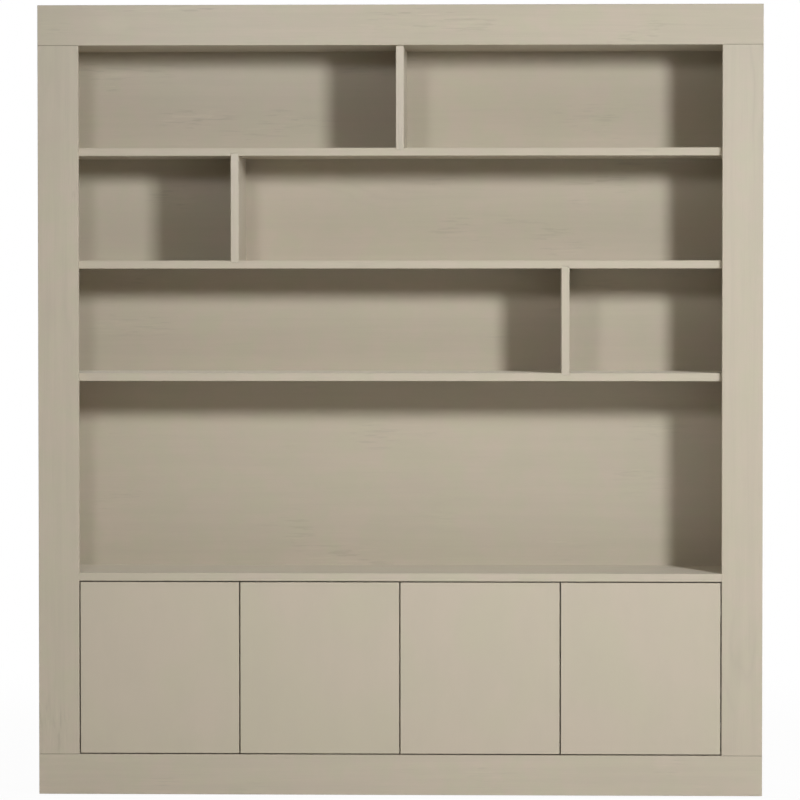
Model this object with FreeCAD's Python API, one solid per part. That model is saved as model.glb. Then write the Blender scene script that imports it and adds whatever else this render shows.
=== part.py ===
import FreeCAD, Part
import math
import os

V = FreeCAD.Vector

# A wall unit with a broad face frame, open compartments above a counter, and a cupboard with four
# inset doors below. X runs to the right, Y to the rear, Z up. The origin is on the floor, under the
# middle of the unit. All sizes are in millimetres.

# Overall sizes
unit_width = 2000.0
unit_height = 2185.0
unit_depth = 350.0

# Board thicknesses
board = 22.0
panel = 18.0
back_thickness = 6.0

# Face frame
frame_thickness = 20.0
post_width = 112.0
header_height = 111.0
plinth_height = 114.0
edge_ease = 1.0

# Rows of compartments
top_row_clear = 282.0
row_clear = 289.0
cupboard_clear = 481.0
divider_offset = 457.0

# Housings: the shallow grooves that the ends of the boards stand in
housing_depth = 6.0
housing_end_clearance = 0.5

# Doors
door_gap = 3.5
door_thickness = 20.0
partition_set_back = 3.5

# One overrun serves all the cuts that run out of a face, and one reach finds the edges on a face
overrun = 1.0
face_reach = 0.001

# Round pins, eyes, holes and recesses have this many sides
small_round_sides = 12
middle_round_sides = 16
wide_round_sides = 24

# Planes that the pieces share
half_width = unit_width / 2
front = -unit_depth / 2
back = unit_depth / 2
frame_back = front + frame_thickness
carcass_back = back - back_thickness
inner_half = half_width - post_width
side_inside = half_width - board
door_back = front + door_thickness
partition_front = door_back + partition_set_back
header_bottom = unit_height - header_height
cover_bottom = unit_height - panel
counter_bottom = plinth_height + cupboard_clear
counter_surface = counter_bottom + board
shelf_upper_bottom = header_bottom - top_row_clear - board
shelf_middle_bottom = shelf_upper_bottom - row_clear - board
shelf_lower_bottom = shelf_middle_bottom - row_clear - board
floor_bottom = plinth_height - panel
ceiling_surface = header_bottom + panel

# Glides under the unit
glide_radius = 8.0
glide_height = 3.0
glide_inset = 40.0


def block(x_span, y_span, z_span):
    """A box between two values on each axis."""
    x0, x1 = sorted(x_span)
    y0, y1 = sorted(y_span)
    z0, z1 = sorted(z_span)
    return Part.makeBox(x1 - x0, y1 - y0, z1 - z0, V(x0, y0, z0))


def round_bar(start, direction, length, radius):
    """A cylinder from a point along a direction."""
    return Part.makeCylinder(radius, length, start, direction)


def faceted_bar(start, direction, length, radius, sides, is_hole=False):
    """A round bar or hole with flat sides. A bar's corners lie on its radius, and so do a hole's flats."""
    corner = radius / math.cos(math.pi / sides) if is_hole else radius
    across = V(0, 0, 1) if abs(direction.z) < face_reach else V(1, 0, 0)
    up = direction.cross(across)
    points = []
    for k in range(sides + 1):
        turn = 2 * math.pi * k / sides
        points.append(start + across * (corner * math.cos(turn)) + up * (corner * math.sin(turn)))
    return Part.Face(Part.makePolygon(points)).extrude(direction * length)


def arc_points(centre, radius, start_angle, end_angle, steps):
    """Points on an arc about w, in the plane of u and v."""
    points = []
    for k in range(steps + 1):
        angle = start_angle + (end_angle - start_angle) * k / steps
        points.append(centre + V(radius * math.cos(angle), radius * math.sin(angle), 0))
    return points


def joined(shapes):
    """One solid from overlapping or touching shapes."""
    whole = shapes[0].multiFuse(shapes[1:])
    return whole.removeSplitter()


def eased(shape, y_front, directions):
    """The shape with its edges on the plane y_front lightly chamfered, where they run a given way."""
    picked = []
    for edge in shape.Edges:
        box = edge.BoundBox
        on_front = abs(box.YMin - y_front) < face_reach and abs(box.YMax - y_front) < face_reach
        runs = {"x": box.XLength > edge_ease, "z": box.ZLength > edge_ease}
        if on_front and any(runs[way] for way in directions):
            picked.append(edge)
    return shape.makeChamfer(edge_ease, picked)


def save(name, solids):
    """Write one node: a solid, or a group of separate solids."""
    if isinstance(solids, list):
        solids = Part.makeCompound(solids)
    solids.exportStep("parts/" + name + ".step")


# Face frame

tongue_length = 60.0
tongue_reach = 18.0
tongue_thickness = 6.0


def frame_tongues():
    """Loose tongues that join the posts to the header and the plinth board."""
    tongues = []
    middle_x = half_width - post_width / 2
    middle_y = front + frame_thickness / 2
    for side in (-1, 1):
        for joint_z in (header_bottom, plinth_height):
            x = side * middle_x
            tongues.append(block((x - tongue_length / 2, x + tongue_length / 2),
                                 (middle_y - tongue_thickness / 2, middle_y + tongue_thickness / 2),
                                 (joint_z - tongue_reach, joint_z + tongue_reach)))
    return tongues


def frame_board(x_span, z_span):
    """A board of the face frame, with slots for the tongues that end in it."""
    shape = eased(block(x_span, (front, frame_back), z_span), front, "xz")
    for tongue in frame_tongues():
        shape = shape.cut(tongue)
    return shape


def header_board():
    return frame_board((-half_width, half_width), (header_bottom, unit_height))


def plinth_board():
    return frame_board((-half_width, half_width), (glide_height, plinth_height))


def post(side):
    return frame_board((side * inner_half, side * half_width), (plinth_height, header_bottom))


# Side boards: they stand behind the posts, flush with their outer edges

rebate_depth = 11.0


def housing(side, z_low, thickness):
    """The groove in a side board that the end of a level board stands in."""
    depth = housing_depth + housing_end_clearance
    return block((side * (side_inside - overrun), side * (side_inside + depth)),
                 (frame_back - overrun, carcass_back + overrun), (z_low, z_low + thickness))


def side_board(side):
    """A side of the unit, with housings for the level boards and a rebate for the back panels."""
    shape = block((side * side_inside, side * half_width), (frame_back, back), (glide_height, cover_bottom))
    level_boards = [
        (header_bottom, panel),
        (shelf_upper_bottom, board),
        (shelf_middle_bottom, board),
        (shelf_lower_bottom, board),
        (counter_bottom, board),
        (floor_bottom, panel),
    ]
    for z_low, thickness in level_boards:
        shape = shape.cut(housing(side, z_low, thickness))
    rebate = block((side * (side_inside - overrun), side * (side_inside + rebate_depth)),
                   (carcass_back, back + overrun), (glide_height - overrun, cover_bottom + overrun))
    return shape.cut(rebate)


# Upright boards between the level ones

def upright(x_span, y_front, low_surface, high_surface):
    """An upright board whose ends stand in housings in the boards below and above it."""
    z_span = (low_surface - housing_depth, high_surface + housing_depth)
    return eased(block(x_span, (y_front, carcass_back), z_span), y_front, "z")


def divider_span(x_middle):
    return (x_middle - board / 2, x_middle + board / 2)


def divider_upper():
    return upright(divider_span(0), frame_back, shelf_upper_bottom + board, header_bottom)


def divider_middle():
    return upright(divider_span(-divider_offset), frame_back, shelf_middle_bottom + board, shelf_upper_bottom)


def divider_lower():
    return upright(divider_span(divider_offset), frame_back, shelf_lower_bottom + board, shelf_middle_bottom)


def cabinet_partition():
    shape = upright(divider_span(0), partition_front, plinth_height, counter_bottom)
    for hole in shelf_pins():
        shape = shape.cut(hole)
    return shape


def cupboard_span(side):
    return (side * inner_half, side * (inner_half + panel))


def cupboard_side(side):
    """The side of the cupboard, flush with the inner edge of the post. The outer doors hang on it."""
    shape = upright(cupboard_span(side), frame_back, plinth_height, counter_bottom)
    for hole in shelf_pins():
        shape = shape.cut(hole)
    return shape


def upright_housing(x_span, y_front, surface, way):
    """The groove for an upright board, into a surface: way is -1 down into it and 1 up into it."""
    depth = housing_depth + housing_end_clearance
    return block(x_span, (y_front, carcass_back + overrun), (surface - way * overrun, surface + way * depth))


def cupboard_housings(surface, way):
    """The grooves for the partition and both sides of the cupboard."""
    spans = [(divider_span(0), partition_front)]
    for side in (-1, 1):
        spans.append((cupboard_span(side), frame_back))
    return [upright_housing(x_span, y_front, surface, way) for x_span, y_front in spans]


# Level boards

def level_board(z_low, thickness):
    """A board behind the face frame, whose ends stand in housings in the side boards."""
    reach = side_inside + housing_depth
    return block((-reach, reach), (frame_back, carcass_back), (z_low, z_low + thickness))


def shelf(z_low, above=None, below=None):
    """A shelf, with housings for the dividers that stand on it and under it."""
    shape = eased(level_board(z_low, board), frame_back, "x")
    if above is not None:
        shape = shape.cut(upright_housing(divider_span(above), frame_back - overrun, z_low + board, -1))
    if below is not None:
        shape = shape.cut(upright_housing(divider_span(below), frame_back - overrun, z_low, 1))
    return shape


def ceiling_panel():
    shape = level_board(header_bottom, panel)
    return shape.cut(upright_housing(divider_span(0), frame_back - overrun, header_bottom, 1))


def counter_top():
    """The counter fills the frame between the posts, and behind them it reaches into the side boards."""
    strip = eased(block((-inner_half, inner_half), (front, frame_back), (counter_bottom, counter_surface)),
                  front, "x")
    shape = joined([strip, level_board(counter_bottom, board)])
    for groove in cupboard_housings(counter_bottom, 1):
        shape = shape.cut(groove)
    return shape


def cabinet_floor():
    shape = level_board(floor_bottom, panel)
    for groove in cupboard_housings(plinth_height, -1):
        shape = shape.cut(groove)
    return shape


def top_cover():
    return block((-half_width, half_width), (frame_back, back), (cover_bottom, unit_height))


# Rails and supports behind the header and the plinth board

def rear_rail(z_low, z_high):
    return block((-side_inside, side_inside), (carcass_back - panel, carcass_back), (z_low, z_high))


def plinth_support():
    """The upright under the partition, which carries the middle of the cabinet floor."""
    return block((-panel / 2, panel / 2), (frame_back, carcass_back - panel), (glide_height, floor_bottom))


# Back panels in the rebates of the side boards, joined behind the lower shelf and behind the counter top

def back_panel(z_low, z_high):
    reach = side_inside + rebate_depth
    return block((-reach, reach), (carcass_back, back), (z_low, z_high))


# Loose shelves in the cupboard, on pins

loose_shelf_set_back = 20.0
loose_shelf_end_clearance = 1.0
shelf_pin_radius = 2.5
shelf_pin_depth = 8.0
shelf_pin_reach = 9.0
shelf_pin_inset = 40.0
loose_shelf_front = door_back + loose_shelf_set_back
loose_shelf_bottom = plinth_height + (cupboard_clear - panel) / 2


def loose_shelf(side):
    near_end = board / 2 + loose_shelf_end_clearance
    far_end = inner_half - loose_shelf_end_clearance
    shape = block((side * near_end, side * far_end),
                  (loose_shelf_front, carcass_back - loose_shelf_end_clearance),
                  (loose_shelf_bottom, loose_shelf_bottom + panel))
    return eased(shape, loose_shelf_front, "x")


def shelf_pins():
    """Pins in the cupboard's sides and in both faces of the partition, under the loose shelves."""
    pins = []
    pin_length = shelf_pin_depth + shelf_pin_reach
    z = loose_shelf_bottom - shelf_pin_radius
    for side in (-1, 1):
        for face, way in ((side * inner_half, -side), (side * board / 2, side)):
            for y in (loose_shelf_front + shelf_pin_inset, carcass_back - shelf_pin_inset):
                start = V(face - way * shelf_pin_depth, y, z)
                pins.append(faceted_bar(start, V(way, 0, 0), pin_length, shelf_pin_radius, small_round_sides))
    return pins


# Doors: each hangs on two cup hinges, the outer doors on the sides of the cupboard and the middle
# doors on the partition

door_width = (2 * inner_half - 5 * door_gap) / 4
door_bottom = plinth_height + door_gap
door_top = counter_bottom - door_gap
hinge_to_end_length = 90.0
hinge_heights = (door_bottom + hinge_to_end_length, door_top - hinge_to_end_length)
door_lefts = [-inner_half + door_gap + k * (door_width + door_gap) for k in range(4)]
doors = {
    "1": {"left": door_lefts[0], "hinge_way": 1, "panel_face": -door_gap},
    "2": {"left": door_lefts[1], "hinge_way": -1, "panel_face": (board - door_gap) / 2},
    "3": {"left": door_lefts[2], "hinge_way": 1, "panel_face": (board - door_gap) / 2},
    "4": {"left": door_lefts[3], "hinge_way": -1, "panel_face": -door_gap},
}


def hinge_edge(door):
    """The x of the door's edge on the hinge side."""
    return door["left"] if door["hinge_way"] > 0 else door["left"] + door_width


def hung(shape, door, z):
    """Move a shape from the hinge's own place to a door. There u runs from the door's edge across the
    door, v from its back face to the rear, and w up. A door hinged on its right takes the mirror image."""
    if door["hinge_way"] < 0:
        shape = shape.mirror(V(0, 0, 0), V(1, 0, 0))
    else:
        shape = shape.copy()
    shape.translate(V(hinge_edge(door), door_back, z))
    return shape


def at_both_hinges(shape, door):
    return [hung(shape, door, z) for z in hinge_heights]


# Cup hinges: a round cup let into the door, an arm on a mounting plate inside the cabinet, and two
# links that join the arm's pivots to the cup's pivots

cup_centre = 22.5
cup_radius = 17.4
cup_depth = 12.4
cup_floor = 1.0
cup_flange_radius = 19.0
cup_flange = 1.2
cup_bore_clearance = 0.1
ear_offset = 9.5
ear_width = 13.0
ear_reach = 29.0
pocket_half_length = 15.5
pocket_half_width = 6.1
cup_rim_bevel = 1.8

# The four pivots: how far each lies from the door's edge, and how far behind or inside its back face
arm_outer_from_edge = 34.52
arm_outer_behind = 12.33
arm_inner_from_edge = 33.89
arm_inner_inside = 5.32
cup_outer_from_edge = 12.41
cup_outer_inside = 4.82
cup_inner_from_edge = 15.85
cup_inner_inside = 7.22
arm_pivot_outer = V(arm_outer_from_edge, arm_outer_behind, 0)
arm_pivot_inner = V(arm_inner_from_edge, -arm_inner_inside, 0)
cup_pivot_outer = V(cup_outer_from_edge, -cup_outer_inside, 0)
cup_pivot_inner = V(cup_inner_from_edge, -cup_inner_inside, 0)

pin_radius = 1.0
pin_seat = 0.4
pin_clearance = 0.05
open_pin_clearance = 1.25

link_thickness = 3.7
link_side_gap = 0.2
link_half_width = 1.5
link_eye_radius = 2.4
open_eye_wall = 1.35
outer_link_bow = 4.3
inner_link_bow = 3.0
bow_steps = 6

cheek_gap = 0.3
cheek_thickness = 1.5
arm_body = 8.0
arm_rear_end = 72.0
arm_nose_low = 7.0
arm_nose_rise = 4.2
arm_web = 1.3
arm_haunch = 6.0
arm_eye_radius = 3.0
arm_eye_steps = 6
arm_well_start = 27.0

plate_thickness = 4.0
plate_front = 26.0
plate_wing_depth = 16.0
plate_wing_reach = 24.0
plate_wing_inset = 4.0

cheek_inside = link_side_gap + link_thickness + cheek_gap
arm_half_width = cheek_inside + cheek_thickness


def upright_pin(centre, half_length, radius):
    """A pin along w, centred on its pivot."""
    start = V(centre.x, centre.y, -half_length)
    return faceted_bar(start, V(0, 0, 1), 2 * half_length, radius, small_round_sides)


def hinge_cup():
    """The cup with its flange and screw ears, its straight-sided pocket, and its two riveted pins."""
    cup = faceted_bar(V(cup_centre, -cup_depth, 0), V(0, 1, 0), cup_depth + cup_flange, cup_radius,
                      wide_round_sides)
    flange = faceted_bar(V(cup_centre, 0, 0), V(0, 1, 0), cup_flange, cup_flange_radius, wide_round_sides)
    ear_middle = cup_centre + ear_offset
    ears = block((ear_middle - ear_width / 2, ear_middle + ear_width / 2), (0, cup_flange),
                 (-ear_reach, ear_reach))
    pocket = block((cup_centre - pocket_half_length, cup_centre + pocket_half_length),
                   (cup_floor - cup_depth, cup_flange + overrun), (-pocket_half_width, pocket_half_width))
    rim = pocket_half_length + cup_rim_bevel
    bevel_corners = [
        V(cup_centre - rim, cup_flange, -pocket_half_width),
        V(cup_centre - pocket_half_length, cup_flange, -pocket_half_width),
        V(cup_centre - pocket_half_length, cup_flange - cup_rim_bevel, -pocket_half_width),
        V(cup_centre - rim, cup_flange, -pocket_half_width),
    ]
    bevel = Part.Face(Part.makePolygon(bevel_corners)).extrude(V(0, 0, 2 * pocket_half_width))
    shell = joined([cup, flange, ears]).cut(pocket).cut(bevel)
    pins = [upright_pin(pivot, pocket_half_width + pin_seat, pin_radius)
            for pivot in (cup_pivot_outer, cup_pivot_inner)]
    return joined([shell] + pins)


def bowed_link(arm_pivot, cup_pivot, bow, arm_eye, arm_hole, w_low):
    """A flat link that bows away from the rim of the cup, with an eye at each pivot."""
    chord = arm_pivot - cup_pivot
    span = chord.Length
    across = V(chord.y, -chord.x, 0) / span
    arc_radius = (span * span / 4 + bow * bow) / (2 * bow)
    centre = (arm_pivot + cup_pivot) / 2 + across * (bow - arc_radius)
    facing = math.atan2(across.y, across.x)
    half_angle = math.asin(span / 2 / arc_radius)
    start_angle = facing - half_angle
    end_angle = facing + half_angle
    outside = arc_points(centre, arc_radius + link_half_width, start_angle, end_angle, bow_steps)
    inside = arc_points(centre, arc_radius - link_half_width, end_angle, start_angle, bow_steps)
    along = V(0, 0, 1)
    outline = Part.makePolygon(outside + inside + outside[:1])
    bar = Part.Face(outline).extrude(along * link_thickness)
    eyes = [faceted_bar(arm_pivot, along, link_thickness, arm_eye, small_round_sides),
            faceted_bar(cup_pivot, along, link_thickness, link_eye_radius, small_round_sides)]
    shape = joined([bar] + eyes)
    holes = [faceted_bar(arm_pivot, along, link_thickness, arm_hole, small_round_sides, is_hole=True),
             faceted_bar(cup_pivot, along, link_thickness, pin_radius + pin_clearance, small_round_sides,
                         is_hole=True)]
    for hole in holes:
        shape = shape.cut(hole)
    shape.translate(V(0, 0, w_low))
    return shape


def outer_link():
    """The long link, with a running fit on both of its pins."""
    return bowed_link(arm_pivot_outer, cup_pivot_outer, outer_link_bow, link_eye_radius,
                      pin_radius + pin_clearance, link_side_gap)


def inner_link():
    """The short link. It turns on the cup's pin, and its eye is wide at the arm's pin."""
    hole = pin_radius + open_pin_clearance
    return bowed_link(arm_pivot_inner, cup_pivot_inner, inner_link_bow, hole + open_eye_wall, hole,
                      -link_side_gap - link_thickness)


def hinge_arm(panel_face):
    """The cranked arm: a bar on the mounting plate, and a nose with two cheeks that hold the arm's pins."""
    low = panel_face + plate_thickness
    high = low + arm_body
    nose_top = arm_pivot_outer.y + arm_nose_rise
    nose_end = arm_pivot_inner.x + arm_eye_radius
    nose_start = arm_pivot_inner.x - arm_eye_radius
    eye = arc_points(arm_pivot_inner, arm_eye_radius, 0, -math.pi, arm_eye_steps)
    corners = eye + [
        V(nose_start, arm_nose_low, 0),
        V(low, arm_nose_low, 0),
        V(low, arm_rear_end, 0),
        V(high, arm_rear_end, 0),
        V(high, nose_top + arm_haunch, 0),
        V(high + arm_haunch, nose_top, 0),
        V(nose_end, nose_top, 0),
    ]
    outline = Part.Face(Part.makePolygon(corners + corners[:1]))
    bar = outline.extrude(V(0, 0, 2 * arm_half_width))
    bar.translate(V(0, 0, -arm_half_width))
    well_low = arm_pivot_inner.y - arm_eye_radius - overrun
    well = block((arm_well_start, nose_end + overrun), (well_low, nose_top - arm_web),
                 (-cheek_inside, cheek_inside))
    pins = [upright_pin(pivot, cheek_inside + pin_seat, pin_radius)
            for pivot in (arm_pivot_outer, arm_pivot_inner)]
    return joined([bar.cut(well)] + pins)


def mounting_plate(panel_face):
    """The plate on the cabinet's panel: a spine under the arm, and a wing for the screws."""
    thickness_span = (panel_face, panel_face + plate_thickness)
    wing_start = plate_front + plate_wing_inset
    spine = block(thickness_span, (plate_front, arm_rear_end), (-arm_half_width, arm_half_width))
    wing = block(thickness_span, (wing_start, wing_start + plate_wing_depth),
                 (-plate_wing_reach, plate_wing_reach))
    return joined([spine, wing])


def door_panel(door):
    """A door with lightly eased front edges and a round recess for each hinge cup."""
    left = door["left"]
    shape = block((left, left + door_width), (front, door_back), (door_bottom, door_top))
    shape = eased(shape, front, "xz")
    bore = faceted_bar(V(cup_centre, -cup_depth - cup_bore_clearance, 0), V(0, 1, 0),
                       cup_depth + cup_bore_clearance + overrun, cup_radius + cup_bore_clearance,
                       wide_round_sides, is_hole=True)
    for recess in at_both_hinges(bore, door):
        shape = shape.cut(recess)
    return shape


# Push latches under the counter top, at the free edge of each door

latch_edge_distance = 30.0
latch_width = 22.0
latch_length = 60.0
latch_height = 18.0
latch_stand_off = 6.0
plunger_radius = 4.0
plunger_clearance = 0.05
plunger_length = 46.0
plunger_tip_radius = 5.5
plunger_tip_length = 3.0
plunger_rest_gap = 0.3
plunger_bore_spare = 2.0


def latch_axis(door):
    """The point on the plunger's axis at the back face of the door."""
    x = hinge_edge(door) + door["hinge_way"] * (door_width - latch_edge_distance)
    return V(x, door_back, counter_bottom - latch_height / 2)


def latch_housing(door):
    axis = latch_axis(door)
    front_face = door_back + latch_stand_off
    shape = block((axis.x - latch_width / 2, axis.x + latch_width / 2),
                  (front_face, front_face + latch_length),
                  (counter_bottom - latch_height, counter_bottom))
    depth = plunger_rest_gap + plunger_length + plunger_bore_spare
    bore = faceted_bar(axis, V(0, 1, 0), depth, plunger_radius + plunger_clearance, middle_round_sides,
                       is_hole=True)
    return shape.cut(bore)


def latch_plunger(door):
    start = latch_axis(door) + V(0, plunger_rest_gap, 0)
    rod = faceted_bar(start, V(0, 1, 0), plunger_length, plunger_radius, middle_round_sides)
    tip = faceted_bar(start, V(0, 1, 0), plunger_tip_length, plunger_tip_radius, middle_round_sides)
    return joined([rod, tip])


# Wall brackets on the top cover, and glides under the unit

bracket_offset = 600.0
bracket_width = 30.0
bracket_leg = 30.0
bracket_rise = 20.0
bracket_thickness = 2.0
bracket_hole_radius = 2.75
bracket_hole_height = 12.0


def wall_bracket(x):
    """An angle on the rear edge of the top cover, with a screw hole in each leg."""
    span = (x - bracket_width / 2, x + bracket_width / 2)
    leg = block(span, (back - bracket_leg, back), (unit_height, unit_height + bracket_thickness))
    rise = block(span, (back - bracket_thickness, back), (unit_height, unit_height + bracket_rise))
    wall_hole = round_bar(V(x, back - bracket_thickness - overrun, unit_height + bracket_hole_height),
                          V(0, 1, 0), bracket_thickness + 2 * overrun, bracket_hole_radius)
    cover_hole = faceted_bar(V(x, back - (bracket_leg + bracket_thickness) / 2, unit_height - overrun),
                             V(0, 0, 1), bracket_thickness + 2 * overrun, bracket_hole_radius,
                             small_round_sides, is_hole=True)
    return joined([leg, rise]).cut(wall_hole).cut(cover_hole)


def floor_glides():
    """Round glides under the side boards and under the plinth support."""
    glides = []
    end_x = (side_inside + half_width) / 2
    for x in (-end_x, 0, end_x):
        for y in (frame_back + glide_inset, carcass_back - panel - glide_inset):
            glides.append(faceted_bar(V(x, y, 0), V(0, 0, 1), glide_height, glide_radius, middle_round_sides))
    return glides


def build():
    os.makedirs("parts", exist_ok=True)
    save("header_board", header_board())
    save("plinth_board", plinth_board())
    save("frame_tongues", frame_tongues())
    for name, side in (("left", -1), ("right", 1)):
        save(name + "_post", post(side))
        save(name + "_side_board", side_board(side))
        save(name + "_cupboard_side", cupboard_side(side))
        save("inner_shelf_" + name, loose_shelf(side))
    save("top_cover", top_cover())
    save("ceiling_panel", ceiling_panel())
    save("rear_top_rail", rear_rail(ceiling_surface, cover_bottom))
    save("shelf_upper", shelf(shelf_upper_bottom, above=0, below=-divider_offset))
    save("shelf_middle", shelf(shelf_middle_bottom, above=-divider_offset, below=divider_offset))
    save("shelf_lower", shelf(shelf_lower_bottom, above=divider_offset))
    save("divider_upper", divider_upper())
    save("divider_middle", divider_middle())
    save("divider_lower", divider_lower())
    save("counter_top", counter_top())
    save("cabinet_floor", cabinet_floor())
    save("rear_plinth_rail", rear_rail(glide_height, floor_bottom))
    save("plinth_support", plinth_support())
    save("cabinet_partition", cabinet_partition())
    save("shelf_pins", shelf_pins())
    niche_seam = shelf_lower_bottom + board / 2
    counter_seam = counter_bottom + board / 2
    save("back_panel_upper", back_panel(niche_seam, cover_bottom))
    save("back_panel_middle", back_panel(counter_seam, niche_seam))
    save("back_panel_lower", back_panel(glide_height, counter_seam))
    plates = []
    arms = []
    for number, door in doors.items():
        save("door_" + number, door_panel(door))
        save("hinge_cups_" + number, at_both_hinges(hinge_cup(), door))
        save("outer_links_" + number, at_both_hinges(outer_link(), door))
        save("inner_links_" + number, at_both_hinges(inner_link(), door))
        save("latch_plunger_" + number, latch_plunger(door))
        plates += at_both_hinges(mounting_plate(door["panel_face"]), door)
        arms += at_both_hinges(hinge_arm(door["panel_face"]), door)
    save("hinge_mounting_plates", plates)
    save("hinge_arms", arms)
    save("latch_housings", [latch_housing(door) for door in doors.values()])
    save("wall_brackets", [wall_bracket(side * bracket_offset) for side in (-1, 1)])
    save("floor_glides", floor_glides())


build()
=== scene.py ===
import math

import bmesh
import bpy
from mathutils import Matrix, Vector


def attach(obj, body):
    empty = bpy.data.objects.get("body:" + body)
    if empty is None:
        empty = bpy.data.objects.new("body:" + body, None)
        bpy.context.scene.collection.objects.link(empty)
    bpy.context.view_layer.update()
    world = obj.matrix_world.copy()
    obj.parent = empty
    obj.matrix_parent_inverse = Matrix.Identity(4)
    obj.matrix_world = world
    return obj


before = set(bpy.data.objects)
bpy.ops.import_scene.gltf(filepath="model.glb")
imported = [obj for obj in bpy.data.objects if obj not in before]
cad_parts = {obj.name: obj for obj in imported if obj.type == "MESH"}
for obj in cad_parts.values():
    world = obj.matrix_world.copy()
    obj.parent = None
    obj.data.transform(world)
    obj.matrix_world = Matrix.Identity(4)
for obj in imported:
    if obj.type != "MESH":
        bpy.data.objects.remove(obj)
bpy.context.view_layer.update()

# Places, in metres: X to the right, Y to the rear, Z up

DOOR_BACK_Y = -0.155
COUNTER_BOTTOM_Z = 0.595
HINGE_Z = (0.2075, 0.5015)
DOOR_WIDTH = 0.439625
HALF_DEPTH = 0.175
TOP_Z = 2.185
# Each door: the x of its hinged edge, the way that it runs from there, and the face of its hinge plates
DOORS = {
    "1": (-0.8845, 1, -0.0035),
    "2": (-0.00175, -1, 0.00925),
    "3": (0.00175, 1, 0.00925),
    "4": (0.8845, -1, -0.0035),
}


# Camera, at the photograph's viewing angle

CAMERA_AT = (0.34019, -11.6621, 1.41926)
CAMERA_YAW = 0.02953
CAMERA_PITCH = -0.02811
CAMERA_ROLL = -0.00025
CAMERA_LENS = 187.51
SENSOR_WIDTH = 36.0


def make_camera():
    data = bpy.data.cameras.new("camera")
    data.lens = CAMERA_LENS
    data.sensor_width = SENSOR_WIDTH
    data.clip_start = 0.1
    data.clip_end = 100.0
    camera = bpy.data.objects.new("camera", data)
    bpy.context.scene.collection.objects.link(camera)
    turn = (Matrix.Rotation(CAMERA_YAW, 4, "Z") @ Matrix.Rotation(math.pi / 2 + CAMERA_PITCH, 4, "X")
            @ Matrix.Rotation(CAMERA_ROLL, 4, "Z"))
    camera.matrix_world = Matrix.Translation(CAMERA_AT) @ turn
    bpy.context.scene.camera = camera


# Light: a key from the right, a small fill from the left, dim air, and two lights for the back

MIDDLE = (0.0, 0.0, 1.10)
KEY = dict(at=(2.42, -4.02, 2.425), aim=(-5.39, 0.0, -2.45), size=0.69, power=201.0, spread=math.pi,
           colour=(0.866, 0.911, 1.0))
FILL = dict(at=(-0.994, -5.265, 2.732), aim=(0.19, 0.0, 0.79), size=0.63, power=10.4, spread=1.40,
            colour=(0.941, 0.953, 1.0))
BACK_LIGHT = dict(aim=MIDDLE, size=2.40, power=115.0, spread=math.pi, colour=(1.0, 0.99, 0.97))
BACK_LIGHTS_AT = ((-3.60, 3.60, 3.20), (3.60, 3.60, 3.20))
# The air near the horizon and the air overhead
AIR_LOW = (0.160, 0.139, 0.093, 1.0)
AIR_HIGH = (0.002, 0.0018, 0.0012, 1.0)
WHITE = (1.0, 1.0, 1.0, 1.0)


def make_light(name, at, aim, size, power, spread, colour):
    data = bpy.data.lights.new(name, "AREA")
    data.shape = "DISK"
    data.size = size
    data.energy = power
    data.spread = spread
    data.color = colour
    light = bpy.data.objects.new(name, data)
    bpy.context.scene.collection.objects.link(light)
    light.location = at
    light.rotation_euler = (Vector(aim) - Vector(at)).to_track_quat("-Z", "Y").to_euler()


def make_world():
    """Dim soft air for the light, and a white ground behind the object for the camera."""
    world = bpy.data.worlds.new("studio")
    bpy.context.scene.world = world
    world.use_nodes = True
    tree = world.node_tree
    tree.nodes.clear()
    air = tree.nodes.new("ShaderNodeBackground")
    direction = tree.nodes.new("ShaderNodeTexCoord")
    height = tree.nodes.new("ShaderNodeSeparateXYZ")
    rise = tree.nodes.new("ShaderNodeMapRange")
    blend = tree.nodes.new("ShaderNodeMix")
    blend.data_type = "RGBA"
    blend.inputs[6].default_value = AIR_LOW
    blend.inputs[7].default_value = AIR_HIGH
    tree.links.new(direction.outputs["Generated"], height.inputs[0])
    tree.links.new(height.outputs["Z"], rise.inputs["Value"])
    tree.links.new(rise.outputs[0], blend.inputs["Factor"])
    tree.links.new(blend.outputs[2], air.inputs["Color"])
    white = tree.nodes.new("ShaderNodeBackground")
    white.inputs["Color"].default_value = WHITE
    path = tree.nodes.new("ShaderNodeLightPath")
    mix = tree.nodes.new("ShaderNodeMixShader")
    out = tree.nodes.new("ShaderNodeOutputWorld")
    tree.links.new(path.outputs["Is Camera Ray"], mix.inputs["Fac"])
    tree.links.new(air.outputs[0], mix.inputs[1])
    tree.links.new(white.outputs[0], mix.inputs[2])
    tree.links.new(mix.outputs[0], out.inputs["Surface"])


def make_lights():
    make_light("key", **KEY)
    make_light("fill", **FILL)
    for number, at in enumerate(BACK_LIGHTS_AT, 1):
        make_light("back_light_%d" % number, at, **BACK_LIGHT)


# Node helpers

BEVEL_SAMPLES = 4
# The cosine between the rounded and the true normal, where an edge starts and where it is full
EDGE_FROM = 0.97
EDGE_FULL = 0.80
# The low and high of the sum of two patterns
SUM_LOW = 0.7
SUM_HIGH = 1.3


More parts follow.
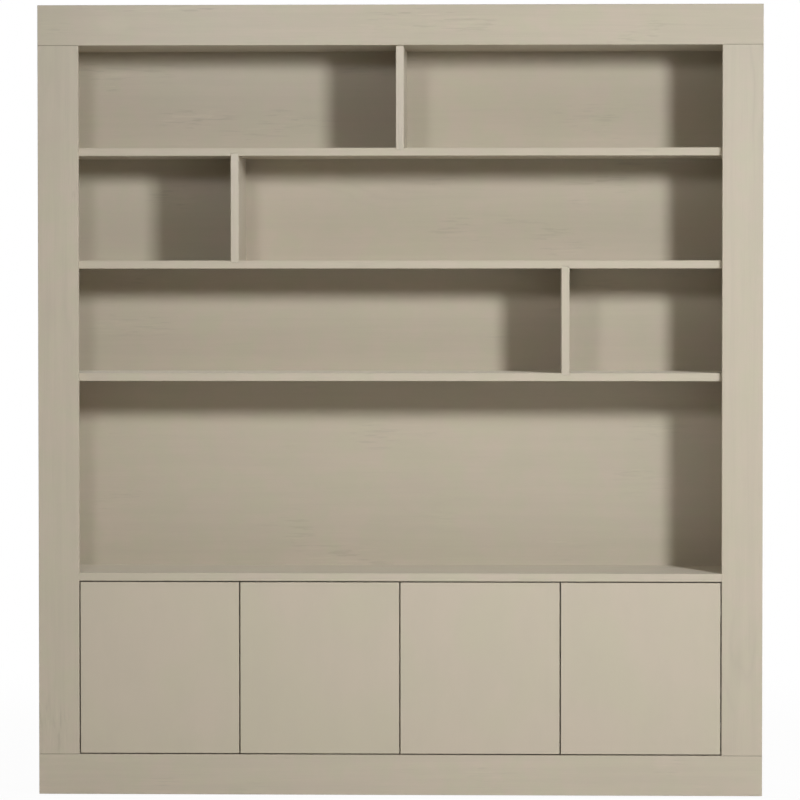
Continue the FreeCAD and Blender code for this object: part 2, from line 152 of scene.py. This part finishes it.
class Shader:
    """A material under construction: short names for the nodes that the finishes share."""

    def __init__(self, name):
        self.material = bpy.data.materials.new(name)
        self.material.use_nodes = True
        self.tree = self.material.node_tree
        self.bsdf = self.tree.nodes["Principled BSDF"]
        self.place = self.tree.nodes.new("ShaderNodeTexCoord").outputs["Object"]

    def node(self, kind, inputs=None, **settings):
        made = self.tree.nodes.new("ShaderNode" + kind)
        for key, value in settings.items():
            setattr(made, key, value)
        for key, value in (inputs or {}).items():
            self.put(value, made.inputs[key])
        return made

    def put(self, value, socket):
        if isinstance(value, bpy.types.NodeSocket):
            self.tree.links.new(value, socket)
        else:
            socket.default_value = value

    def stretched(self, scale, offset=(0.0, 0.0, 0.0)):
        return self.node("Mapping", {"Vector": self.place, "Scale": scale, "Location": offset}).outputs[0]

    def noise(self, vector, detail=2.0, roughness=0.5, distortion=0.0):
        return self.node("TexNoise", {"Vector": vector, "Scale": 1.0, "Detail": detail,
                                      "Roughness": roughness, "Distortion": distortion}).outputs["Fac"]

    def math(self, operation, a, b=0.0):
        made = self.node("Math", operation=operation)
        self.put(a, made.inputs[0])
        self.put(b, made.inputs[1])
        return made.outputs[0]

    def span(self, value, low, high, new_low=0.0, new_high=1.0):
        return self.node("MapRange", {"Value": value, "From Min": low, "From Max": high, "To Min": new_low,
                                      "To Max": new_high}, interpolation_type="SMOOTHSTEP").outputs[0]

    def mix(self, factor, a, b):
        made = self.node("Mix", data_type="RGBA")
        self.put(factor, made.inputs["Factor"])
        self.put(a, made.inputs[6])
        self.put(b, made.inputs[7])
        return made.outputs[2]

    def bump(self, height, strength, distance):
        made = self.node("Bump", {"Strength": strength, "Distance": distance, "Height": height})
        self.put(made.outputs[0], self.bsdf.inputs["Normal"])

    def colour(self, value):
        self.put(value, self.bsdf.inputs["Base Color"])

    def roughness(self, value):
        self.put(value, self.bsdf.inputs["Roughness"])

    def rough_between(self, a, b, low, high):
        """A roughness that runs from low to high with the sum of two patterns."""
        self.roughness(self.span(self.math("ADD", a, b), SUM_LOW, SUM_HIGH, low, high))

    def edges(self, radius):
        """High near the edges of a piece, where the rounded normal leaves the true one."""
        rounded = self.node("Bevel", {"Radius": radius}, samples=BEVEL_SAMPLES).outputs[0]
        true = self.node("NewGeometry").outputs["Normal"]
        dot = self.node("VectorMath", {0: rounded, 1: true}, operation="DOT_PRODUCT").outputs["Value"]
        return self.span(dot, EDGE_FROM, EDGE_FULL)


def tone(colour, factor):
    return tuple(min(1.0, channel * factor) for channel in colour[:3]) + (1.0,)


def hued(colour, factors):
    """A colour with each channel multiplied by its own factor."""
    return tuple(channel * factor for channel, factor in zip(colour[:3], factors)) + (1.0,)


SATIN = {
    "Diffuse Roughness": 0.30,
    "Specular IOR Level": 0.14,
    "Sheen Weight": 0.50,
    "Sheen Roughness": 0.30,
    "Sheen Tint": (0.92, 0.86, 0.74, 1.0),
    "Coat Roughness": 0.27,
}
THIN_COAT = 0.18
# The widths of worn edges; on paint the lighter edge is partly wear and partly a painted highlight where
# the edges catch the light
WORN_AND_HIGHLIT_PAINT = 0.0016
WORN_PLATING = 0.0005
WORN_PLASTIC = 0.0004


def satin(s, coat):
    """A faint satin skin on rough paint. It hardly shows from in front, and brightens slanted faces."""
    for name, value in SATIN.items():
        s.bsdf.inputs[name].default_value = value
    s.bsdf.inputs["Coat Weight"].default_value = coat


# Painted pine: brushed paint through which the relief of the grain shows

GRAIN_AXES = {"X": 0, "Y": 1, "Z": 2}
# How close the waves of each pattern stand: along and across the grain, or the same all ways
FIBRE = (7.0, 330.0)
STREAK = (1.6, 46.0)
FIGURE = (1.5, 7.5)
FIGURE_PLACES = (1.3, 3.4)
DASH = (13.0, 150.0)
DASH_PLACES = (4.0, 9.0)
CLOUD = 3.4
BLOTCH = 11.0
# The dark line of a joint in the face frame, which runs outward from the edge of the opening: painted shade
# in the joint's groove, over the line where the paint has not bridged
OPENING_HALF = 0.888
SEAM_HALF = 0.0008
SEAM_SHADE_TONE = 0.55


def along_axis(axis, along, across):
    """A scale that is small along the grain and large across it."""
    return tuple(along if k == GRAIN_AXES[axis] else across for k in range(3))


def patch(s, centre, size):
    """A soft spot: 1 at its centre, and 0 beyond its half sizes."""
    scale = tuple(1.0 / half for half in size)
    offset = tuple(-place / half for place, half in zip(centre, size))
    reach = s.node("VectorMath", {0: s.stretched(scale, offset)}, operation="LENGTH").outputs["Value"]
    return s.span(reach, 1.0, 0.35)


def seam_shade(s, height):
    """The dark line of the joint between a post and a level board of the frame: painted shade in the
    joint's groove, over the line where the paint has not bridged. 1 along the line.
    """
    place = s.node("SeparateXYZ", {0: s.place}).outputs
    away = s.math("ABSOLUTE", s.math("SUBTRACT", place["Z"], height))
    beside = s.math("GREATER_THAN", s.math("ABSOLUTE", place["X"]), OPENING_HALF)
    return s.math("MULTIPLY", s.span(away, SEAM_HALF * 1.5, SEAM_HALF * 0.5), beside)


def pine_patterns(s, axis, offset):
    """The patterns of a pine board: fibres, streaks, flame figure, broad cloud and blotches."""
    fibre = s.noise(s.stretched(along_axis(axis, *FIBRE), offset), detail=4.0, roughness=0.62)
    streak = s.noise(s.stretched(along_axis(axis, *STREAK), offset), detail=3.0, roughness=0.55)
    warp = s.noise(s.stretched(along_axis(axis, *FIGURE), offset), detail=2.5, roughness=0.45,
                   distortion=0.35)
    rings = s.math("POWER", s.math("PINGPONG", s.math("MULTIPLY", warp, 17.0), 1.0), 2.2)
    where = s.span(s.noise(s.stretched(along_axis(axis, *FIGURE_PLACES), offset), detail=1.0), 0.52, 0.68)
    flame = s.math("MULTIPLY", rings, where)
    cloud = s.noise(s.stretched((CLOUD, CLOUD, CLOUD), offset), detail=2.0)
    blotch = s.noise(s.stretched((BLOTCH, BLOTCH, BLOTCH), offset), detail=3.0, roughness=0.6)
    return fibre, streak, flame, cloud, blotch


def flecks(s, axis, offset, flecked):
    """Short dark dashes and light dashes, in clouds of their own and at the spots that are named."""
    dash = s.noise(s.stretched(along_axis(axis, *DASH), offset), detail=2.0, distortion=0.25)
    places = s.noise(s.stretched(along_axis(axis, *DASH_PLACES), offset), detail=1.0)
    where = s.span(places, 0.60, 0.74, 0.0, 0.6)
    for centre, size in flecked:
        where = s.math("MAXIMUM", where, patch(s, centre, size))
    return (s.math("MULTIPLY", s.span(dash, 0.55, 0.66), where),
            s.math("MULTIPLY", s.span(dash, 0.42, 0.33), where))


def layered(s, base, colour, layers):
    """Mix tones of a colour over a base. A layer is a pattern, its low and high, its share and its tone."""
    for pattern, low, high, share, factor in layers:
        base = s.mix(s.span(pattern, low, high, 0.0, share), base, tone(colour, factor))
    return base


def bare_board(s, colour, fibre, streak, flame, cloud):
    """The unpainted rear of a back panel, with the figure of its painted side."""
    base = layered(s, colour, colour, ((streak, 0.35, 0.65, 0.60, 0.86), (fibre, 0.48, 0.72, 0.50, 0.72)))
    base = s.mix(s.math("MULTIPLY", flame, 0.7), base, tone(colour, 0.66))
    return s.mix(s.span(cloud, 0.35, 0.65, 0.0, 0.6), base, PLYWOOD_WARM)


def painted_pine(name, axis, colour, offset, grain=1.0, figure=1.0, wear_and_highlight=1.0, bare_rear=None,
                 flecked=(), pale=(), coat=THIN_COAT, seams=()):
    """Brushed paint over the relief of the grain, with flecks, edges lightened partly by wear and partly by
    a painted highlight, and joint lines darkened partly by painted shade.
    """
    s = Shader(name)
    fibre, streak, flame, cloud, blotch = pine_patterns(s, axis, offset)
    dark_fleck, light_fleck = flecks(s, axis, offset, flecked)
    base = s.mix(s.span(blotch, 0.36, 0.64), hued(colour, (0.975, 1.005, 0.965)),
                 hued(colour, (1.02, 0.992, 1.01)))
    base = layered(s, base, colour, ((cloud, 0.30, 0.70, 0.50, 0.955),
                                     (streak, 0.40, 0.62, 0.30 * grain, 0.90),
                                     (fibre, 0.50, 0.74, 0.26 * grain, 0.84)))
    base = s.mix(s.math("MULTIPLY", flame, 0.34 * figure), base, tone(colour, 0.80))
    base = s.mix(s.math("MULTIPLY", dark_fleck, 0.65), base, tone(colour, 0.76))
    base = s.mix(s.math("MULTIPLY", light_fleck, 0.45), base, tone(colour, 1.12))
    for centre, size in pale:
        base = s.mix(s.math("MULTIPLY", patch(s, centre, size), s.span(cloud, 0.3, 0.6, 0.3, 0.8)), base,
                     tone(colour, 1.07))
    # Lighter edges: partly worn paint, partly a painted highlight where the edges catch the light
    worn_and_highlit = s.math("MULTIPLY", s.edges(WORN_AND_HIGHLIT_PAINT), s.span(streak, 0.35, 0.65, 0.25 * wear_and_highlight, 0.60 * wear_and_highlight))
    base = s.mix(worn_and_highlit, base, tone(colour, 1.16))
    # Painted shade along the joints of the frame, over the line where the paint has not bridged
    for height in seams:
        base = s.mix(seam_shade(s, height), base, tone(colour, SEAM_SHADE_TONE))
    if bare_rear is not None:
        to_rear = s.node("SeparateXYZ", {0: s.node("TexCoord").outputs["Normal"]}).outputs["Y"]
        bare = bare_board(s, bare_rear, fibre, streak, flame, cloud)
        base = s.mix(s.math("GREATER_THAN", to_rear, 0.5), base, bare)
    s.colour(base)
    s.rough_between(fibre, blotch, 0.42, 0.54)
    s.bsdf.inputs["Anisotropic"].default_value = 0.6
    s.put(s.node("Tangent", direction_type="RADIAL", axis=axis).outputs[0], s.bsdf.inputs["Tangent"])
    satin(s, coat)
    height = s.math("MULTIPLY", fibre, -0.55 * grain)
    for pattern, depth in ((flame, 0.55 * figure), (streak, 0.35 * grain), (dark_fleck, 0.8)):
        height = s.math("ADD", height, s.math("MULTIPLY", pattern, -depth))
    s.bump(height, 0.30, 0.0007)
    return s.material


def smooth_paint(name, colour, offset):
    """Sprayed or rolled paint on a plain board: a fine skin, hardly any grain."""
    s = Shader(name)
    skin = s.noise(s.stretched((420.0, 420.0, 420.0), offset), detail=2.0)
    roll = s.noise(s.stretched((16.0, 16.0, 5.0), offset), detail=3.0, roughness=0.6)
    cloud = s.noise(s.stretched((4.5, 4.5, 4.5), offset), detail=2.0)
    base = s.mix(s.span(cloud, 0.35, 0.65), hued(colour, (0.985, 1.002, 0.975)),
                 hued(colour, (1.012, 0.995, 1.005)))
    base = layered(s, base, colour, ((roll, 0.40, 0.66, 0.40, 0.965),))
    # Lighter edges: partly worn paint, partly a painted highlight where the edges catch the light
    worn_and_highlit = s.math("MULTIPLY", s.edges(WORN_AND_HIGHLIT_PAINT), s.span(roll, 0.35, 0.65, 0.10, 0.30))
    base = s.mix(worn_and_highlit, base, tone(colour, 1.12))
    s.colour(base)
    s.rough_between(skin, roll, 0.38, 0.50)
    satin(s, THIN_COAT)
    s.bump(skin, 0.10, 0.0003)
    return s.material


def bare_pine(name, axis, colour):
    """Planed wood with rings, a few knots and dark fibres."""
    s = Shader(name)
    fibre = s.noise(s.stretched(along_axis(axis, 9.0, 420.0)), detail=4.0, roughness=0.6)
    warp = s.noise(s.stretched(along_axis(axis, 1.2, 13.0)), detail=2.0, distortion=0.5)
    rings = s.math("POWER", s.math("PINGPONG", s.math("MULTIPLY", warp, 15.0), 1.0), 1.8)
    knots = s.node("TexVoronoi", {"Vector": s.stretched(along_axis(axis, 3.0, 9.0)), "Scale": 1.0})
    knot = s.span(knots.outputs["Distance"], 0.11, 0.05)
    base = s.mix(s.math("MULTIPLY", rings, 0.5), colour, tone(colour, 0.72))
    base = layered(s, base, colour, ((fibre, 0.48, 0.72, 0.35, 0.62),))
    base = s.mix(s.math("MULTIPLY", knot, 0.8), base, tone(colour, 0.32))
    s.colour(base)
    s.roughness(s.span(fibre, 0.3, 0.7, 0.52, 0.70))
    s.bump(s.math("ADD", fibre, rings), 0.22, 0.0004)
    return s.material


def plated_steel(name, colour, roughness, axis="Z"):
    """Pressed steel with a drawn plating, dull spots and bright worn edges."""
    s = Shader(name)
    drawn = s.noise(s.stretched(along_axis(axis, 60.0, 1800.0)), detail=3.0)
    dull = s.noise(s.stretched((90.0, 90.0, 90.0)), detail=3.0, roughness=0.6)
    base = s.mix(s.span(dull, 0.35, 0.68), colour, tone(colour, 0.78))
    base = s.mix(s.math("MULTIPLY", s.edges(WORN_PLATING), 0.6), base, tone(colour, 1.25))
    s.colour(base)
    s.bsdf.inputs["Metallic"].default_value = 1.0
    s.rough_between(drawn, dull, roughness - 0.07, roughness + 0.12)
    s.bump(drawn, 0.12, 0.0001)
    return s.material


def moulded_plastic(name, colour, roughness):
    """Moulded plastic with a fine spark-eroded skin and slight dulling."""
    s = Shader(name)
    skin = s.noise(s.stretched((1500.0, 1500.0, 1500.0)), detail=2.0)
    dull = s.noise(s.stretched((70.0, 70.0, 70.0)), detail=3.0)
    base = s.mix(s.span(dull, 0.35, 0.68), colour, tone(colour, 0.88))
    base = s.mix(s.math("MULTIPLY", s.edges(WORN_PLASTIC), 0.5), base, tone(colour, 1.35))
    s.colour(base)
    s.rough_between(skin, dull, roughness - 0.06, roughness + 0.08)
    s.bump(skin, 0.15, 0.00008)
    return s.material


# Finishes of the CAD nodes

PAINT = (0.560, 0.490, 0.3725, 1.0)
BACK_PAINT = (0.540, 0.474, 0.360, 1.0)
DOOR_PAINT = (0.563, 0.492, 0.374, 1.0)
INSIDE_PAINT = (0.545, 0.477, 0.362, 1.0)
PLYWOOD = (0.60, 0.45, 0.28, 1.0)
PLYWOOD_WARM = (0.62, 0.43, 0.25, 1.0)
PINE = (0.66, 0.48, 0.29, 1.0)
NICKEL = (0.62, 0.61, 0.58, 1.0)
ZINC = (0.60, 0.60, 0.58, 1.0)
DARK_ZINC = tone(ZINC, 0.25)
LATCH_GREY = (0.36, 0.355, 0.34, 1.0)
PLUNGER_GREY = (0.14, 0.135, 0.13, 1.0)
GLIDE_BLACK = (0.035, 0.033, 0.030, 1.0)

# Spots with many flecks of grain, and a pale patch: the centre and half sizes of each
FLECKED = {
    "back_panel_upper": (((-0.590, 0.0, 1.885), (0.150, 1.0, 0.045)),
                         ((-0.835, 0.0, 1.975), (0.050, 1.0, 0.018))),
    "back_panel_lower": (((-0.895, 0.0, 0.645), (0.060, 1.0, 0.030)),),
    "header_board": (((-0.640, 0.0, 2.173), (0.330, 1.0, 0.011)),
                     ((0.050, 0.0, 2.160), (0.180, 1.0, 0.012))),
    "plinth_board": (((-0.330, 0.0, 0.106), (0.040, 1.0, 0.008)),),
}
PALE = {"header_board": (((-0.790, 0.0, 2.135), (0.060, 1.0, 0.035)),)}
# The boards with a fuller or thinner satin coat than the others
COATS = {"divider_upper": 0.95, "divider_middle": 0.95, "divider_lower": 0.95, "top_cover": 0.04,
         "shelf_lower": 0.04}
# The heights of the joints in the face frame
PLINTH_TOP = 0.114
HEADER_BOTTOM = 2.074
# The joints on each frame board along which painted shade darkens the paint
SEAMS = {
    "header_board": (HEADER_BOTTOM,),
    "plinth_board": (PLINTH_TOP,),
    "left_post": (PLINTH_TOP, HEADER_BOTTOM),
    "right_post": (PLINTH_TOP, HEADER_BOTTOM),
}
# How far the grain shifts from one board to the next
BOARD_SHIFT = (3.7, 1.9, 2.3)
BACK_SHIFT = (2.1, 0.0, 1.3)
DOOR_SHIFT = (1.7, 0.0, 0.9)


def shifted(shift, number):
    return tuple(step * number for step in shift)


def finish_nodes():
    """Give every CAD node its finish. Boards of one kind get different grain from an offset each."""
    level = ["header_board", "plinth_board", "shelf_upper", "shelf_middle", "shelf_lower", "counter_top",
             "ceiling_panel", "cabinet_floor", "top_cover", "inner_shelf_left", "inner_shelf_right"]
    standing = ["left_post", "right_post", "left_side_board", "right_side_board", "divider_upper",
                "divider_middle", "divider_lower", "cabinet_partition", "left_cupboard_side",
                "right_cupboard_side"]
    inner = ("ceiling_panel", "cabinet_floor", "inner_shelf", "cabinet_partition", "cupboard_side")
    finishes = {}
    for axis, names in (("X", level), ("Z", standing)):
        for number, name in enumerate(names):
            is_inner = any(word in name for word in inner)
            finishes[name] = painted_pine("painted_" + name, axis, INSIDE_PAINT if is_inner else PAINT,
                                          shifted(BOARD_SHIFT, number), grain=0.8 if is_inner else 1.0,
                                          wear_and_highlight=0.4, coat=COATS.get(name, THIN_COAT),
                                          flecked=FLECKED.get(name, ()), pale=PALE.get(name, ()),
                                          seams=SEAMS.get(name, ()))
    for number, name in enumerate(("back_panel_upper", "back_panel_middle", "back_panel_lower")):
        finishes[name] = painted_pine("painted_" + name, "X", BACK_PAINT, shifted(BACK_SHIFT, number),
                                      grain=0.6, figure=0.5, bare_rear=PLYWOOD,
                                      flecked=FLECKED.get(name, ()))
    for number in DOORS:
        finishes["door_" + number] = smooth_paint("painted_door_" + number, DOOR_PAINT,
                                                  shifted(DOOR_SHIFT, int(number)))
    pine = bare_pine("bare_pine", "X", PINE)
    for name in ("frame_tongues", "rear_top_rail", "rear_plinth_rail", "plinth_support"):
        finishes[name] = pine
    nickel = plated_steel("nickel_plate", NICKEL, roughness=0.30)
    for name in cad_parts:
        if name.startswith(("hinge_", "outer_links", "inner_links")):
            finishes[name] = nickel
        if name.startswith("latch_plunger"):
            finishes[name] = moulded_plastic("plunger_plastic_" + name[-1], PLUNGER_GREY, roughness=0.42)
    finishes["shelf_pins"] = plated_steel("pin_plate", NICKEL, roughness=0.26, axis="X")
    finishes["latch_housings"] = moulded_plastic("latch_plastic", LATCH_GREY, roughness=0.48)
    finishes["wall_brackets"] = plated_steel("zinc_plate", ZINC, roughness=0.38, axis="X")
    finishes["floor_glides"] = moulded_plastic("glide_plastic", GLIDE_BLACK, roughness=0.55)
    for name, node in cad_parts.items():
        node.data.materials.clear()
        node.data.materials.append(finishes[name])


# Small fasteners and plates, each set of a kind and a body in one mesh

def facing(at, direction):
    """A placement whose own Z points along a direction."""
    return Matrix.Translation(at) @ Vector(direction).to_track_quat("Z", "Y").to_matrix().to_4x4()


def join_loops(mesh, loops):
    """Faces between each loop of corners and the next."""
    for low, high in zip(loops, loops[1:]):
        for k in range(len(low)):
            n = (k + 1) % len(low)
            mesh.faces.new((low[k], low[n], high[n], high[k]))


# The cross of a screw head: the reach and half width of its arms as shares of the radius
CROSS_REACH = 0.55
CROSS_HALF = 0.13
# The floor of the cross: its size beside the mouth, and its height as a share of the rise
CROSS_TAPER = 0.7
CROSS_FLOOR = 0.25
# The rim of a head, from its foot up, as shares of its radius and rise
RIM = ((1.0, 0.0), (0.97, 0.45), (0.80, 0.90))
RIM_STEPS = 24
# The steps of each corner of a plate
CORNER_STEPS = 5
# Where the edge of a plate starts to fall, and how far in it ends, as shares of its thickness
PLATE_EDGE = 0.6
PLATE_FALL = 0.8


def add_screw(mesh, place, radius, rise, spin=0.3):
    """A screw head with a domed rim and a sunk cross, its underside on the placement's origin."""
    arm, half = radius * CROSS_REACH, radius * CROSS_HALF
    spot = place @ Matrix.Rotation(spin, 4, "Z")

    def ring(r, z):
        return [mesh.verts.new(spot @ Vector((r * math.cos(math.tau * k / RIM_STEPS),
                                              r * math.sin(math.tau * k / RIM_STEPS), z)))
                for k in range(RIM_STEPS)]

    rings = [ring(radius * out, rise * up) for out, up in RIM]
    join_loops(mesh, rings)
    corners = [(arm, half), (half, half), (half, arm), (-half, arm), (-half, half), (-arm, half),
               (-arm, -half), (-half, -half), (-half, -arm), (half, -arm), (half, -half), (arm, -half)]
    top = [mesh.verts.new(spot @ Vector((x, y, rise))) for x, y in corners]
    sunk = [mesh.verts.new(spot @ Vector((x * CROSS_TAPER, y * CROSS_TAPER, rise * CROSS_FLOOR)))
            for x, y in corners]
    loops = []
    for loop in (rings[-1], top):
        for k, vertex in enumerate(loop):
            following = loop[(k + 1) % len(loop)]
            loops.append(mesh.edges.get((vertex, following)) or mesh.edges.new((vertex, following)))
    bmesh.ops.triangle_fill(mesh, use_beauty=True, edges=loops)
    join_loops(mesh, (top, sunk))
    mesh.faces.new(sunk)


def add_plate(mesh, place, width, height, thickness, corner):
    """A thin plate with round corners and a slight edge fall, its underside on the placement's origin."""
    def outline(inset, z):
        points = []
        for quarter, (sx, sy) in enumerate(((1, 1), (-1, 1), (-1, -1), (1, -1))):
            for k in range(CORNER_STEPS + 1):
                angle = math.pi / 2 * (quarter + k / CORNER_STEPS)
                points.append((sx * (width / 2 - corner) + (corner - inset) * math.cos(angle),
                               sy * (height / 2 - corner) + (corner - inset) * math.sin(angle), z))
        return [mesh.verts.new(place @ Vector(point)) for point in points]

    levels = [outline(0.0, 0.0), outline(0.0, thickness * PLATE_EDGE),
              outline(thickness * PLATE_FALL, thickness)]
    join_loops(mesh, levels)
    mesh.faces.new(levels[-1])
    mesh.faces.new(list(reversed(levels[0])))


def finished_piece(name, mesh, material, body):
    bmesh.ops.recalc_face_normals(mesh, faces=mesh.faces[:])
    data = bpy.data.meshes.new(name)
    mesh.to_mesh(data)
    mesh.free()
    piece = bpy.data.objects.new(name, data)
    bpy.context.scene.collection.objects.link(piece)
    data.materials.append(material)
    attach(piece, body)


# The head of each kind of screw
CUP_HEAD = dict(radius=0.0034, rise=0.0011)
PLATE_HEAD = dict(radius=0.0036, rise=0.0012)
ARM_HEAD = dict(radius=0.0031, rise=0.0010)
STRIKE_HEAD = dict(radius=0.0026, rise=0.0006)
LATCH_HEAD = dict(radius=0.0027, rise=0.0009)
BRACKET_HEAD = dict(radius=0.0046, rise=0.0022)
BACK_HEAD = dict(radius=0.0038, rise=0.0007)

# Where the screws and strike plates sit on a door, its hinges and its latch
CUP_SCREW_FROM_EDGE = 0.032
CUP_FLANGE = 0.0012
CUP_SCREW_SPREAD = 0.024
PLATE_SCREW_Y = 0.038
PLATE_SCREW_SPREAD = 0.0175
PLATE_THICKNESS = 0.004
ARM_BODY = 0.008
ARM_SCREW_YS = (0.046, 0.062)
STRIKE_FROM_FREE_EDGE = 0.030
STRIKE_PLATE = dict(width=0.020, height=0.025, thickness=0.0002, corner=0.003)
STRIKE_Z = 0.5785
STRIKE_SCREW_Z = 0.5715
STRIKE_SCREW_SPREAD = 0.0055
LATCH_HEIGHT = 0.018
LATCH_SCREW_SPREAD = 0.0075
LATCH_SCREW_YS = {-1: 0.018, 1: 0.054}


def cup_screws(number, steel):
    """Two screws in the ears of each hinge cup."""
    edge, way, _ = DOORS[number]
    mesh = bmesh.new()
    for z in HINGE_Z:
        for side in (-1, 1):
            at = (edge + way * CUP_SCREW_FROM_EDGE, DOOR_BACK_Y + CUP_FLANGE, z + side * CUP_SCREW_SPREAD)
            add_screw(mesh, facing(at, (0, 1, 0)), spin=0.3 + 0.5 * side, **CUP_HEAD)
    finished_piece("cup_screws_" + number, mesh, steel, "door_" + number)


def hinge_screws(steel):
    """Two screws in each mounting plate, and two adjusting screws on each arm."""
    mesh = bmesh.new()
    for number, (edge, way, face) in DOORS.items():
        for z in HINGE_Z:
            plate_x = edge + way * (face + PLATE_THICKNESS)
            for side in (-1, 1):
                at = (plate_x, DOOR_BACK_Y + PLATE_SCREW_Y, z + side * PLATE_SCREW_SPREAD)
                add_screw(mesh, facing(at, (way, 0, 0)), spin=0.7 * side, **PLATE_HEAD)
            arm_x = plate_x + way * ARM_BODY
            for y in ARM_SCREW_YS:
                add_screw(mesh, facing((arm_x, DOOR_BACK_Y + y, z), (way, 0, 0)), spin=y * 40, **ARM_HEAD)
    finished_piece("hinge_screws", mesh, steel, "cabinet")


def strike_plate(number, steel):
    """The thin plate that the latch's plunger pushes on, with its two screws."""
    edge, way, _ = DOORS[number]
    x = edge + way * (DOOR_WIDTH - STRIKE_FROM_FREE_EDGE)
    mesh = bmesh.new()
    add_plate(mesh, facing((x, DOOR_BACK_Y, STRIKE_Z), (0, 1, 0)), **STRIKE_PLATE)
    for side in (-1, 1):
        at = (x + side * STRIKE_SCREW_SPREAD, DOOR_BACK_Y + STRIKE_PLATE["thickness"], STRIKE_SCREW_Z)
        add_screw(mesh, facing(at, (0, 1, 0)), **STRIKE_HEAD)
    finished_piece("strike_plate_" + number, mesh, steel, "door_" + number)


def latch_screws(steel):
    """Two screws up through each latch housing."""
    mesh = bmesh.new()
    for edge, way, _ in DOORS.values():
        x = edge + way * (DOOR_WIDTH - STRIKE_FROM_FREE_EDGE)
        for side, y in LATCH_SCREW_YS.items():
            at = (x + side * LATCH_SCREW_SPREAD, DOOR_BACK_Y + y, COUNTER_BOTTOM_Z - LATCH_HEIGHT)
            add_screw(mesh, facing(at, (0, 0, -1)), spin=y * 30, **LATCH_HEAD)
    finished_piece("latch_screws", mesh, steel, "cabinet")


BRACKET_XS = (-0.6, 0.6)
BRACKET_SCREW_FROM_BACK = 0.016
BRACKET_THICKNESS = 0.002


def bracket_screws(steel):
    """A screw down through the level leg of each wall bracket."""
    mesh = bmesh.new()
    for x in BRACKET_XS:
        at = (x, HALF_DEPTH - BRACKET_SCREW_FROM_BACK, TOP_Z + BRACKET_THICKNESS)
        add_screw(mesh, facing(at, (0, 0, 1)), **BRACKET_HEAD)
    finished_piece("bracket_screws", mesh, steel, "cabinet")


BACK_SCREW_XS = (-0.978, -0.652, -0.326, 0.0, 0.326, 0.652, 0.978)
BACK_SCREW_ZS = (0.105, 0.590, 0.623, 1.143, 1.175, 1.470, 1.781, 2.083)
BACK_SIDE_SCREW_ZS = (0.35, 0.88, 1.32, 1.63, 1.93)
BACK_SIDE_SCREW_X = 0.9835
BACK_SCREW_SUNK = 0.0006


def back_screws(steel):
    """Flat screws that hold the back panels to the level boards and to the side boards."""
    mesh = bmesh.new()
    spots = [(x, z) for z in BACK_SCREW_ZS for x in BACK_SCREW_XS]
    spots += [(side * BACK_SIDE_SCREW_X, z) for z in BACK_SIDE_SCREW_ZS for side in (-1, 1)]
    for k, (x, z) in enumerate(spots):
        add_screw(mesh, facing((x, HALF_DEPTH - BACK_SCREW_SUNK, z), (0, 1, 0)), spin=1.3 * k, **BACK_HEAD)
    finished_piece("back_screws", mesh, steel, "cabinet")


# Floor

FLOOR_HALF = 14.0
FLOOR_WHITE_FROM = 1.6
FLOOR_WHITE_TO = 4.0
FLOOR_COLOUR = (0.80, 0.79, 0.77, 1.0)
FLOOR_ROUGHNESS = 0.8
FLOOR_LEAST_WHITE = 0.96


def make_floor():
    """A plain pale floor that fades to the white ground away from the object."""
    mesh = bmesh.new()
    bmesh.ops.create_grid(mesh, x_segments=8, y_segments=8, size=FLOOR_HALF)
    data = bpy.data.meshes.new("floor")
    mesh.to_mesh(data)
    mesh.free()
    floor = bpy.data.objects.new("floor", data)
    bpy.context.scene.collection.objects.link(floor)
    s = Shader("pale_floor")
    s.colour(FLOOR_COLOUR)
    s.roughness(FLOOR_ROUGHNESS)
    white = s.node("Emission", {"Color": WHITE, "Strength": 1.0})
    reach = s.node("VectorMath", {0: s.place}, operation="LENGTH").outputs["Value"]
    seen = s.node("LightPath").outputs["Is Camera Ray"]
    fade = s.span(reach, FLOOR_WHITE_FROM, FLOOR_WHITE_TO, FLOOR_LEAST_WHITE, 1.0)
    share = s.math("MULTIPLY", fade, seen)
    mix = s.node("MixShader", {0: share, 1: s.bsdf.outputs[0], 2: white.outputs[0]})
    s.put(mix.outputs[0], s.tree.nodes["Material Output"].inputs["Surface"])
    data.materials.append(s.material)


def build():
    bpy.context.scene.view_settings.view_transform = "Standard"
    bpy.context.scene.view_settings.look = "None"
    make_camera()
    make_world()
    make_lights()
    make_floor()
    finish_nodes()
    screw_steel = plated_steel("screw_plate", NICKEL, roughness=0.32)
    dark_steel = plated_steel("back_screw_plate", DARK_ZINC, roughness=0.45)
    hinge_screws(screw_steel)
    latch_screws(screw_steel)
    bracket_screws(screw_steel)
    back_screws(dark_steel)
    for number in DOORS:
        cup_screws(number, screw_steel)
        strike_plate(number, screw_steel)


build()
